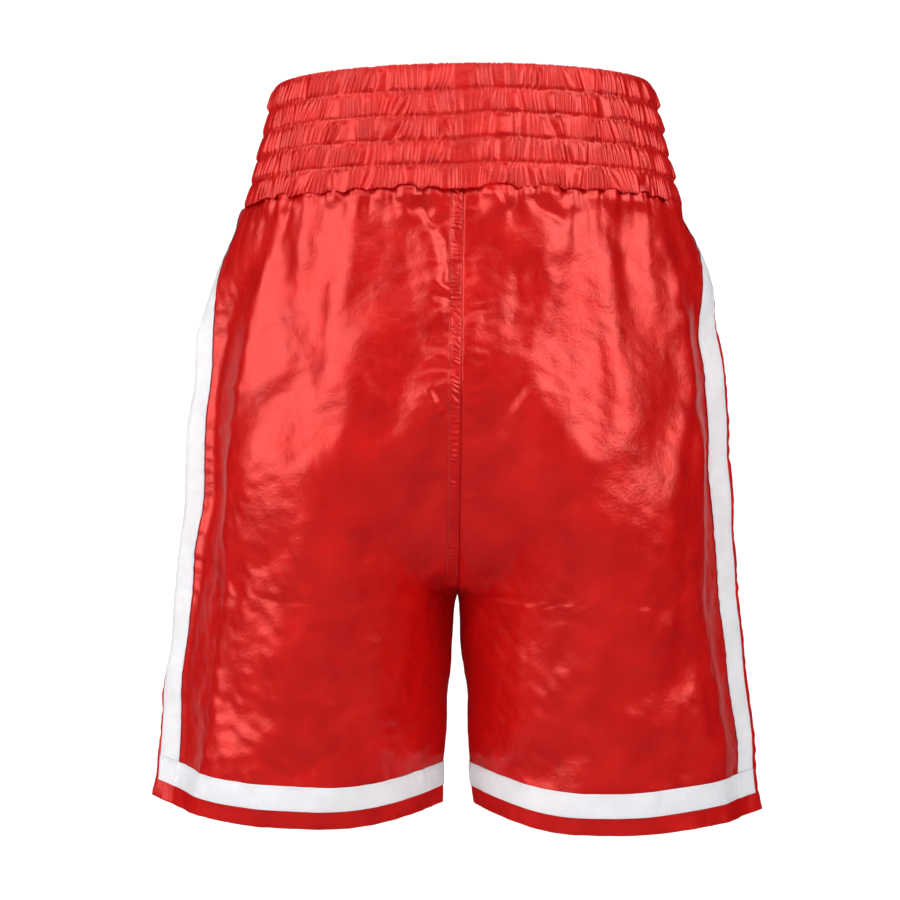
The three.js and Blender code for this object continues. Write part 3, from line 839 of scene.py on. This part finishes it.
def satin(name, deep, bright, roughness, metallic, anisotropic, glint=(1, 1, 1, 1)):
    """Shiny satin: long floats of yarn down the cloth, fine uneven yarns and faint creases."""
    finish = Finish(name)
    even = finish.cloth_places((1, 1, 1))
    yarns = finish.noise(finish.cloth_places((5200, 160, 1)), detail=2)
    streaks = finish.noise(finish.cloth_places((900, 22, 1)), detail=3)
    clouds = finish.noise(even, scale=34, detail=3, roughness=0.55)
    creases = finish.noise(even, scale=120, detail=4, roughness=0.6)
    wrinkles = finish.noise(even, scale=420, detail=3, roughness=0.6)
    tint = (clouds - 0.5) * 1.1 + (streaks - 0.5) * 0.2 + 0.5
    grit = finish.noise(even, scale=1100, detail=2)
    height = yarns * 0.008 + streaks * 0.008 + clouds * 0.75 + creases * 0.75
    height += wrinkles * 0.38 + grit * 0.09
    return finish.set(
        Base_Color=finish.mix(tint, deep, bright),
        Metallic=metallic,
        Roughness=(streaks - 0.5) * 0.06 + (clouds - 0.5) * 0.14 + roughness,
        Specular_IOR_Level=0.58,
        Specular_Tint=glint,
        Anisotropic=anisotropic,
        Normal=finish.bump(height, 1.0 * MM, 0.55),
    )


def satin_wrong_side(name, deep, bright):
    """The dull side of the satin, where the cross yarns show."""
    finish = Finish(name)
    warp = finish.noise(finish.cloth_places((1500, 120, 1)), detail=2)
    weft = finish.noise(finish.cloth_places((160, 2600, 1)), detail=2)
    clouds = finish.noise(finish.cloth_places((1, 1, 1)), scale=40, detail=3)
    return finish.set(
        Base_Color=finish.mix((warp + weft) * 0.35 + (clouds - 0.5) * 0.6 + 0.15, deep, bright),
        Roughness=clouds * 0.12 + 0.62,
        Sheen_Weight=0.15,
        Normal=finish.bump(weft * 0.1 + warp * 0.06 + clouds * 0.4, 1.0 * MM, 0.6),
    )


def thread(name, deep, bright):
    """Twisted sewing thread."""
    finish = Finish(name)
    places = finish.object_places((1, 1, 1))
    plies = finish.node(
        "ShaderNodeTexWave", settings={"wave_type": "BANDS", "bands_direction": "DIAGONAL"}, output="Fac",
        Vector=places, Scale=700.0, Distortion=2.0,
    )
    fuzz = finish.noise(places, scale=2600, detail=2)
    return finish.set(
        Base_Color=finish.mix(plies * 0.6 + fuzz * 0.4, deep, bright),
        Roughness=fuzz * 0.2 + 0.42,
        Sheen_Weight=0.2,
        Normal=finish.bump(plies * 0.2 + fuzz * 0.05, 1.0 * MM, 0.5),
    )


def woven(name, deep, bright, ribs, roughness):
    """Plain woven goods: elastic, and the label's tape."""
    finish = Finish(name)
    places = finish.object_places((ribs, ribs, ribs))
    weave = finish.node(
        "ShaderNodeTexWave", settings={"wave_type": "BANDS", "bands_direction": "Z"}, output="Fac",
        Vector=places, Scale=1.0, Distortion=0.6,
    )
    slubs = finish.noise(places, scale=3.0, detail=3)
    return finish.set(
        Base_Color=finish.mix(weave * 0.6 + slubs * 0.4, deep, bright),
        Roughness=slubs * 0.15 + roughness,
        Sheen_Weight=0.1,
        Normal=finish.bump(weave * 0.3 + slubs * 0.1, 1.0 * MM, 0.5),
    )


def backdrop_paint():
    finish = Finish("studio_paper")
    grain = finish.noise(finish.object_places((1, 1, 1)), scale=3, detail=2)
    return finish.set(
        Base_Color=finish.mix(grain, (0.93, 0.93, 0.93, 1), (0.96, 0.96, 0.96, 1)),
        Roughness=grain * 0.1 + 0.8,
    )


RED = satin(
    "red_satin", (0.34, 0.0002, 0.0006, 1), (0.62, 0.0006, 0.0012, 1), 0.33, 0.26, 0.3, (1, 0.93, 0.82, 1)
)
RED_INSIDE = satin_wrong_side("red_satin_inside", (0.50, 0.008, 0.010, 1), (0.68, 0.020, 0.022, 1))
WHITE = satin("white_satin", (0.50, 0.49, 0.51, 1), (0.66, 0.65, 0.67, 1), 0.38, 0.0, 0.2)
RED_THREAD = thread("red_thread", (0.20, 0.001, 0.003, 1), (0.34, 0.004, 0.006, 1))
WHITE_THREAD = thread("white_thread", (0.46, 0.45, 0.48, 1), (0.64, 0.63, 0.66, 1))
ELASTIC = woven("woven_elastic", (0.62, 0.60, 0.56, 1), (0.82, 0.80, 0.76, 1), 420.0, 0.7)
LABEL = woven("label_cloth", (0.78, 0.78, 0.77, 1), (0.90, 0.90, 0.89, 1), 900.0, 0.55)


def dress(piece, slot, *materials, replaces=()):
    for material in materials:
        piece.data.materials.append(material)
    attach(piece, "root")
    if replaces:
        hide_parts(*replaces)
    return piece


def make_panel(panel):
    name = f"{panel.face}_{panel.side}_panel"
    outer = settle(panel.grid)
    inner = settle(panel.grid - panel.way_out * CLOTH)
    flat_places = np.stack([panel.distances, panel.drops[:, None] + 0 * panel.distances], axis=-1)
    flat_places[..., 0] += PANELS.index((panel.face, panel.side)) * 0.7
    piece = sheet_piece(name, outer, inner, panel.turn < 0, flat_places)
    dress(piece, "red_satin", RED, RED_INSIDE, replaces=[f"{panel.face}_panel_{panel.side}"])
    count = (outer.shape[0] - 1) * (outer.shape[1] - 1)
    index = np.zeros(len(piece.data.polygons), dtype=np.int32)
    index[count : 2 * count] = 1
    piece.data.polygons.foreach_set("material_index", index)
    return piece


for panel in panels.values():
    make_panel(panel)


# ---------------------------------------------------------------- tapes
TAPE_CLEARANCE = 0.25 * MM
TAPE_THICKNESS = 0.38 * MM
TRIM_TOP = BAND_HEIGHT + 2 * MM
HEM_TAPE_FOOT = SIDE_LENGTH - TAPE_INSET
HEM_TAPE_TOP = HEM_TAPE_FOOT - TAPE_WIDTH


def tape_profile(across):
    """How high a tape stands across its width: drawn down by its two rows of stitching."""
    stitched = hump(across, 2 * MM, 1.3 * MM) + hump(across, TAPE_WIDTH - 2 * MM, 1.3 * MM)
    return (0.30 - 0.16 * stitched) * MM


def make_tape(panel, name, drops, distances, across, along, lift, replaces):
    points, ways = panel.at(drops, distances)
    seed = panel.seed + (7 if along is drops else 9)
    ripple = waves(across * 0.3, along, 12 * MM, seed) * (0.16 * MM)
    ripple += waves(across * 0.2, along, 38 * MM, seed + 1) * (0.22 * MM)
    middle = np.sin(math.pi * across / TAPE_WIDTH)
    height = TAPE_CLEARANCE + lift + tape_profile(across) + ripple * (0.25 + 0.75 * middle)
    outer = settle(points + ways * (height + TAPE_THICKNESS)[..., None])
    inner = settle(points + ways * height[..., None])
    piece = sheet_piece(name, outer, inner, panel.turn < 0, np.stack([across, along], axis=-1))
    dress(piece, "white_satin", WHITE, replaces=replaces)
    return piece


def step_over(along):
    """How high a hem tape is lifted where it steps over the foot of the side tape."""
    return 0.95 * MM * (1 - smooth(TAPE_INNER, TAPE_INNER + 3 * MM, along))


def side_tape(panel):
    along = np.linspace(TRIM_TOP, HEM_TAPE_FOOT - 1 * MM, 330)[:, None] + np.zeros((1, 17))
    across = np.linspace(0, TAPE_WIDTH, 17)[None, :] + 0 * along
    where = f"{panel.face}_{panel.side}"
    return make_tape(
        panel, f"side_tape_{where}_satin", along, TAPE_INSET + across, across, along, 0,
        [f"side_tape_{where}"],
    )


def hem_tape(panel):
    length = float(panel.width_at(HEM_TAPE_TOP))
    along = TAPE_INSET + np.linspace(0, length - TAPE_INSET - 0.5 * MM, 210)[None, :] + np.zeros((17, 1))
    across = np.linspace(0, TAPE_WIDTH, 17)[:, None] + 0 * along
    where = f"{panel.face}_{panel.side}"
    return make_tape(
        panel, f"hem_tape_{where}_satin", HEM_TAPE_TOP + across, along, across, along, step_over(along),
        [f"hem_tape_{where}"],
    )


for panel in panels.values():
    side_tape(panel)
    hem_tape(panel)


# ---------------------------------------------------------------- stitches
def make_stitches(name, line, ways, pitch, material, slot, replaces, thickness=0.42 * MM, fill=0.72):
    """A row of short stitches along a line, each a small rounded bead that dips in at both ends."""
    steps = np.linalg.norm(np.diff(line, axis=0), axis=1)
    lengths = np.concatenate([[0], np.cumsum(steps)])
    count = max(2, int(lengths[-1] / pitch))
    starts = (np.arange(count) + 0.5 - fill / 2) * lengths[-1] / count
    stations = np.linspace(0, 1, 5)
    where = starts[:, None] + stations[None, :] * fill * lengths[-1] / count
    spine = np.stack([np.interp(where, lengths, line[:, i]) for i in range(3)], axis=-1)
    out = unit(np.stack([np.interp(where, lengths, ways[:, i]) for i in range(3)], axis=-1))
    along = unit(np.gradient(spine, axis=1))
    aside = unit(np.cross(along, out))
    swell = np.sqrt(np.clip(1 - (2 * stations - 1) ** 4, 0.04, 1))[None, :, None] * thickness / 2
    sunk = (np.abs(2 * stations - 1) ** 3)[None, :, None] * thickness * 0.9
    centre = spine + out * (thickness * 0.35 - sunk)
    angles = np.linspace(0, 2 * math.pi, 6, endpoint=False)
    rings = [centre + swell * (math.cos(a) * aside + math.sin(a) * out) for a in angles]
    points = np.stack(rings, axis=2)
    around = len(angles)
    per = len(stations) * around
    faces = []
    for i in range(len(stations) - 1):
        for k in range(around):
            n = (k + 1) % around
            faces.append((i * around + k, i * around + n, (i + 1) * around + n, (i + 1) * around + k))
    faces.append(tuple(reversed(range(around))))
    faces.append(tuple(range(per - around, per)))
    everywhere = [tuple(v + s * per for v in face) for s in range(count) for face in faces]
    piece = make_object(name, settle(points), everywhere)
    return dress(piece, slot, material, replaces=replaces)


def panel_stitches(panel, name, drops, distances, height, pitch, material, slot, replaces, **more):
    points, ways = panel.at(drops[:, None], distances[:, None])
    line = (points + ways * height)[:, 0]
    return make_stitches(name, line, ways[:, 0], pitch, material, slot, replaces, **more)


ON_TAPE = TAPE_CLEARANCE + 0.14 * MM + TAPE_THICKNESS
for panel in panels.values():
    where = f"{panel.face}_{panel.side}"
    drops = np.linspace(TRIM_TOP, HEM_TAPE_TOP, 400)
    length = float(panel.width_at(HEM_TAPE_TOP))
    along = np.linspace(TAPE_INSET + 1 * MM, length - 1 * MM, 300)
    lift = step_over(along)[:, None, None]
    for edge, inset in (("outer", 2 * MM), ("inner", TAPE_WIDTH - 2 * MM)):
        node = f"side_tape_stitch_{edge}_{where}"
        panel_stitches(
            panel, f"{node}_thread", drops, np.full(400, TAPE_INSET + inset), ON_TAPE, 2.8 * MM,
            WHITE_THREAD, "white_thread", [node],
        )
        node = f"hem_tape_stitch_{edge}_{where}"
        panel_stitches(
            panel, f"{node}_thread", np.full(300, HEM_TAPE_FOOT - inset), along, ON_TAPE + lift, 2.8 * MM,
            WHITE_THREAD, "white_thread", [node],
        )

# ---------------------------------------------------------------- waistband
def fan(fine_start, fine_count, coarse_start, coarse_count, turned):
    """Closes the strip between a ring of many points and a ring of fewer."""
    ratio = fine_count // coarse_count
    faces = []
    for k in range(coarse_count):
        b0, b1 = coarse_start + k, coarse_start + (k + 1) % coarse_count
        fine = [fine_start + (k * ratio + j) % fine_count for j in range(ratio + 1)]
        turn_at = ratio // 2
        for j in range(ratio):
            faces.append((fine[j], fine[j + 1], b0 if j < turn_at else b1))
        faces.append((fine[turn_at], b1, b0))
    return [face[::-1] for face in faces] if turned else faces


def ring_quads(rows, count, start):
    faces = []
    for r in range(rows - 1):
        here = start + r * count
        for k in range(count):
            n = (k + 1) % count
            faces.append((here + k, here + n, here + count + n, here + count + k))
    return faces


def row_sway(place, drop):
    """The rows wander a little, and step at the centre-back join."""
    from_back = place - BACK_PLACE
    step = 1.4 * MM * np.tanh(from_back / (7 * MM)) * hump(from_back, 0, 90 * MM)
    wander = 0.35 * MM * round_waves(place, 9 * MM, 87) + 0.4 * MM * round_waves(place, 40 * MM, 88)
    return (wander - step) * np.sin(math.pi * drop / BAND_HEIGHT).clip(0, 1)


def foot_edge(place):
    """The band's foot arches over the loops of the body's cloth, and ripples with the pleats."""
    ripple = 0.5 * MM * (pleats(place, 5.6 * MM, 37, wander=0.8) - 0.5)
    return (ripple - 1.15 * loops(place).clip(0, 3.6 * MM)) * (1 - 0.5 * join_share(place)) + 1.2 * MM


def make_waistband():
    """Satin folded over the elastic: the gathered outside, the rolled top edge, and the facing."""
    angles, place, _ = band_angles(FINE_ROUND)
    foot = foot_edge(place)
    under = casing_relief(place, np.full_like(place, BAND_HEIGHT)) - 1.9 * MM
    rings = [band_points(angles, BAND_HEIGHT - 1.5 * MM + foot, under)]
    for channel in reversed(range(CHANNELS)):
        for share in CHANNEL_ROWS:
            drop = np.full_like(place, (channel + share) * CHANNEL_PITCH)
            if channel < CHANNELS - 1 and share == 1.0:
                drop -= 1e-5
            low = smooth(BAND_HEIGHT - CHANNEL_PITCH * 0.6, BAND_HEIGHT, drop)
            relief = casing_relief(place, drop)
            rings.append(band_points(angles, drop + row_sway(place, drop) + foot * low, relief))
    top = casing_relief(place, np.full_like(place, 0.07 * CHANNEL_PITCH))
    half = -FACING_OFFSET / 2
    for turn in np.linspace(0.12, 0.88, 6):
        across = -half + half * math.cos(math.pi * turn)
        up = 0.07 * CHANNEL_PITCH - 2.4 * MM * math.sin(math.pi * turn)
        ruffle = 0.9 * MM * (pleats(place, 4.6 * MM, 33, wander=0.8) - 0.4) * math.sin(math.pi * turn)
        rings.append(band_points(angles, up - ruffle, across + top * (1 - turn)))
    fine_rows = len(rings)
    facing_angles, facing_place, _ = band_angles(FACING_ROUND)
    facing_shares = np.linspace(0.03, 1, 15)
    for share in facing_shares:
        drop = share * BAND_HEIGHT
        gather = pleats(facing_place, 7.5 * MM, 77, lean=0.3 * share, wander=0.7)
        tucked = 0.8 * MM * gather * (0.5 + 0.5 * abs(math.sin(math.pi * share * CHANNELS)))
        rings.append(band_points(facing_angles, drop, FACING_OFFSET - tucked + 0.3 * MM))
    facing_rows = len(facing_shares)
    hidden_angles, _, _ = band_angles(HIDDEN_ROUND)
    hidden = [(share, FACING_OFFSET + 1.0 * MM) for share in (1, 0.5, 0.03)]
    hidden += [(share, -2.3 * MM) for share in (0.03, 0.5, 1)]
    for share, offset in hidden:
        rings.append(band_points(hidden_angles, share * BAND_HEIGHT, np.full(HIDDEN_ROUND, offset)))
    starts = np.concatenate([[0], np.cumsum([len(ring) for ring in rings])])
    first_facing, first_hidden = fine_rows, fine_rows + facing_rows
    faces = ring_quads(fine_rows, FINE_ROUND, 0)
    faces += fan(int(starts[first_facing - 1]), FINE_ROUND, int(starts[first_facing]), FACING_ROUND, False)
    faces += ring_quads(facing_rows, FACING_ROUND, int(starts[first_facing]))
    faces += fan(int(starts[first_hidden - 1]), FACING_ROUND, int(starts[first_hidden]), HIDDEN_ROUND, False)
    faces += ring_quads(len(hidden), HIDDEN_ROUND, int(starts[first_hidden]))
    faces += fan(0, FINE_ROUND, int(starts[-2]), HIDDEN_ROUND, True)
    points = np.concatenate(rings)
    piece = make_object("waistband_satin", settle(points), faces)
    places = np.concatenate(
        [
            np.stack([np.linspace(0, BAND_ROUND, len(ring)), np.full(len(ring), 0.004 * row)], axis=-1)
            for row, ring in enumerate(rings)
        ]
    )
    lay_uv(piece, places)
    dress(piece, "red_satin", RED, replaces=["waistband_casing"])
    return piece


make_waistband()
band_line_angles, band_line_place, _ = band_angles(1200)
for row in range(1, CHANNELS + 1):
    drop = np.full(1200, row * CHANNEL_PITCH - (0.01 if row < CHANNELS else 2.4) * MM)
    relief = casing_relief(band_line_place, drop) + (0.0 if row < CHANNELS else -0.2) * MM
    drop_line = drop + row_sway(band_line_place, drop)
    if row == CHANNELS:
        drop_line += foot_edge(band_line_place)
    line = band_points(band_line_angles, drop_line, relief)
    ways = unit(line * np.array([1 / WAIST[0] ** 2, 1 / WAIST[1] ** 2, 0]))
    node = f"waistband_stitch_row_{row}" if row < CHANNELS else "waist_seam_stitch"
    make_stitches(
        f"{node}_thread", line, ways, 2.9 * MM, RED_THREAD, "red_thread", [node], thickness=0.3 * MM, fill=0.6
    )

# ---------------------------------------------------------------- centre seams and overlocking
FELL_WIDTH = FELL[1] + 1.6 * MM


def fell_height(from_seam, drop, seed):
    """The folded seam edge: flat at its two rows of stitching, and puckered across between them."""
    between = np.sin(math.pi * np.clip((from_seam - FELL[0]) / (FELL[1] - FELL[0]), 0, 1))
    phase = drop / (4.1 * MM) + 0.9 * waves(from_seam, drop, 22 * MM, seed, count=8) + from_seam / (9 * MM)
    rungs = np.abs(np.sin(math.pi * phase)) * (0.75 + 0.4 * waves(from_seam * 0, drop, 16 * MM, seed + 1))
    height = 0.22 * MM + 0.2 * MM * between + 1.3 * MM * between**0.7 * (rungs - 0.3)
    height -= 0.16 * MM * (hump(from_seam, FELL[0], 0.6 * MM) + hump(from_seam, FELL[1], 0.6 * MM))
    height *= smooth(FELL_WIDTH + 0.3 * MM, FELL_WIDTH - 0.8 * MM, from_seam)
    return height * smooth(-0.4 * MM, 0.6 * MM, from_seam)


def make_fell(face):
    panel = panels[face, "left"]
    drop = np.arange(BAND_HEIGHT + 0.5 * MM, CROTCH_DROP - 16 * MM, 0.7 * MM)[:, None] + np.zeros((1, 17))
    from_seam = np.linspace(0.1 * MM, FELL_WIDTH, 17)[None, :] + 0 * drop
    inner = panel.width_at(drop)
    points, ways = panel.at(drop, inner - from_seam)
    height = fell_height(from_seam, drop, panel.seed) + 0.05 * MM
    outer = settle(points + ways * height[..., None])
    under = settle(points - ways * 0.2 * MM)
    piece = sheet_piece(
        f"{face}_left_felled_edge", outer, under, panel.turn > 0, np.stack([from_seam, drop], axis=-1)
    )
    dress(piece, "red_satin", RED, replaces=[f"{face}_panel_left"])


for face in FACES:
    make_fell(face)
    panel = panels[face, "left"]
    drops = np.linspace(TRIM_TOP, CROTCH_DROP - 18 * MM, 420)
    inner = panel.width_at(drops)
    for name, distance in (("edge", FELL[0]), ("fell", FELL[1])):
        node = f"{face}_centre_stitch_{name}"
        height = fell_height(np.full(420, distance), drops, panel.seed)[:, None, None] + 0.12 * MM
        panel_stitches(
            panel, f"{node}_thread", drops, inner - distance, height, 2.7 * MM,
            RED_THREAD, "red_thread", [node], thickness=0.5 * MM,
        )


OVERLOCK_INSET = 4 * MM


def overlock(panel, node, drops, distances):
    """The overlocked edge of a seam, inside the cloth: thread that swings to and fro."""
    swing = 1.6 * MM * np.sign(np.sin(np.arange(len(drops)) * math.pi / 2 + 0.1))
    panel_stitches(
        panel, f"{node}_thread", drops, distances + swing, -CLOTH - 0.3 * MM, 1.6 * MM,
        RED_THREAD, "red_thread", [node],
    )


for side in SIDES:
    panel = panels["back", side]
    drops = np.linspace(TRIM_TOP, SIDE_LENGTH - 2 * MM, 640)
    overlock(panel, f"side_seam_overlock_{side}", drops, OVERLOCK_INSET)
    drops = np.linspace(CROTCH_DROP + 6 * MM, SIDE_LENGTH - 2 * MM, 220)
    overlock(panel, f"inseam_overlock_{side}", drops, panel.width_at(drops) - OVERLOCK_INSET)


# ---------------------------------------------------------------- label
def make_label():
    rows, columns = 36, 30
    width, height = label_high[0] - label_low[0], label_high[2] - label_low[2]
    across = np.linspace(-width / 2, width / 2, columns)[None, :] + np.zeros((rows, 1))
    down = np.linspace(0, height, rows)[:, None] + 0 * across
    angle = math.pi / 2 - across / BAND_FOOT[0]
    curl = 1.2 * MM * (1 - down / height) ** 2 + 0.3 * MM * np.sin(across / (7 * MM))
    drop = BAND_HEIGHT - height - 0.3 * MM + down
    points = np.stack(
        [band_points(angle[i], float(drop[i, 0]), FACING_OFFSET - 1.5 * MM - curl[i]) for i in range(rows)]
    )
    ways = outward(points, 1)
    flat_places = np.stack([across, down], axis=-1)
    under = settle(points - ways * 0.3 * MM)
    piece = sheet_piece("blank_care_label", settle(points), under, False, flat_places)
    dress(piece, "label_cloth", LABEL, replaces=["care_label"])


make_label()


def make_elastic():
    """The woven elastic inside the casing, one closed band."""
    count = 360
    angles, place, _ = band_angles(count)
    ripple = 0.12 * MM * round_waves(place, 18 * MM, 91)
    top, foot = 0.06 * BAND_HEIGHT, 0.97 * BAND_HEIGHT
    corners = ((foot, -2.7 * MM), (top, -2.7 * MM), (top, -3.7 * MM), (foot, -3.7 * MM))
    rings = [band_points(angles, drop, offset + ripple) for drop, offset in corners]
    faces = ring_quads(4, count, 0)
    last = 3 * count
    faces += [(last + k, last + (k + 1) % count, (k + 1) % count, k) for k in range(count)]
    piece = make_object("woven_waist_elastic", settle(np.concatenate(rings)), faces, False)
    dress(piece, "elastic_web", ELASTIC, replaces=["waist_elastic"])


make_elastic()


# ---------------------------------------------------------------- studio
def make_backdrop():
    """A pale floor that curves up into a wall behind the shorts."""
    floor_z = -0.98
    turn = 0.8
    back = -2.6
    profile = [(4.5, floor_z)]
    for angle in np.linspace(0, math.pi / 2, 16):
        profile.append((back + turn - turn * math.sin(angle), floor_z + turn - turn * math.cos(angle)))
    profile.append((back, 4.5))
    points = np.array([[(x, y, z) for x in (-6.0, 6.0)] for y, z in profile])
    piece = make_object("studio_sweep", points, grid_quads(len(profile), 2).tolist())
    piece.data.materials.append(backdrop_paint())
    piece.visible_glossy = False


def add_light(name, place, aim, size, power):
    light = bpy.data.lights.new(name, "AREA")
    light.shape = "RECTANGLE"
    light.size, light.size_y = size
    light.energy = power
    lamp = bpy.data.objects.new(name, light)
    bpy.context.scene.collection.objects.link(lamp)
    lamp.location = place
    lamp.rotation_euler = (Vector(aim) - Vector(place)).to_track_quat("-Z", "Y").to_euler()
    return lamp


make_backdrop()
MIDDLE = (0, 0, -0.289)
LIGHTS = (
    # name, place, size, power, and whether the satin reflects it
    ("left_softbox", (1.88, 1.12, 0.46), (2.0, 2.0), 47, True),
    ("right_softbox", (-1.64, 1.36, 0.80), (1.8, 1.8), 49, True),
    ("top_front_softbox", (0, 1.85, 1.45), (2.0, 1.0), 13, True),
    ("low_left_softbox", (1.35, 1.9, 0.0), (1.2, 0.8), 1.1, True),
    ("low_right_softbox", (-0.95, 2.15, 0.0), (1.1, 0.8), 0.7, True),
    ("side_fill", (1.9, 1.6, 0.1), (1.6, 1.2), 8, False),
    ("leg_fill", (0.2, 1.9, -1.1), (1.6, 1.2), 17, False),
)
for name, place, size, power, reflected in LIGHTS:
    add_light(name, place, MIDDLE, size, power).visible_glossy = reflected
add_light("backdrop_light", (0, -1.2, 2.6), (0, -2.6, -0.4), (4.0, 1.0), 60)
add_light("floor_light", (0, -0.6, 2.8), (0, -1.8, -1.0), (4.0, 1.0), 30)
world = bpy.data.worlds.new("studio_air")
world.use_nodes = True
world.node_tree.nodes["Background"].inputs["Color"].default_value = (1, 1, 1, 1)
world.node_tree.nodes["Background"].inputs["Strength"].default_value = 0.012
bpy.context.scene.world = world
bpy.context.scene.view_settings.view_transform = "Standard"

CAMERA_DISTANCE = 2.2
FIELD = 0.72
camera_data = bpy.data.cameras.new("camera")
camera_data.sensor_width = 36
camera_data.lens = camera_data.sensor_width * CAMERA_DISTANCE / FIELD
camera = bpy.data.objects.new("camera", camera_data)
bpy.context.scene.collection.objects.link(camera)
camera.location = (0.0064, CAMERA_DISTANCE, MIDDLE[2])
camera.rotation_euler = (math.radians(90), 0, math.radians(180))
bpy.context.scene.camera = camera
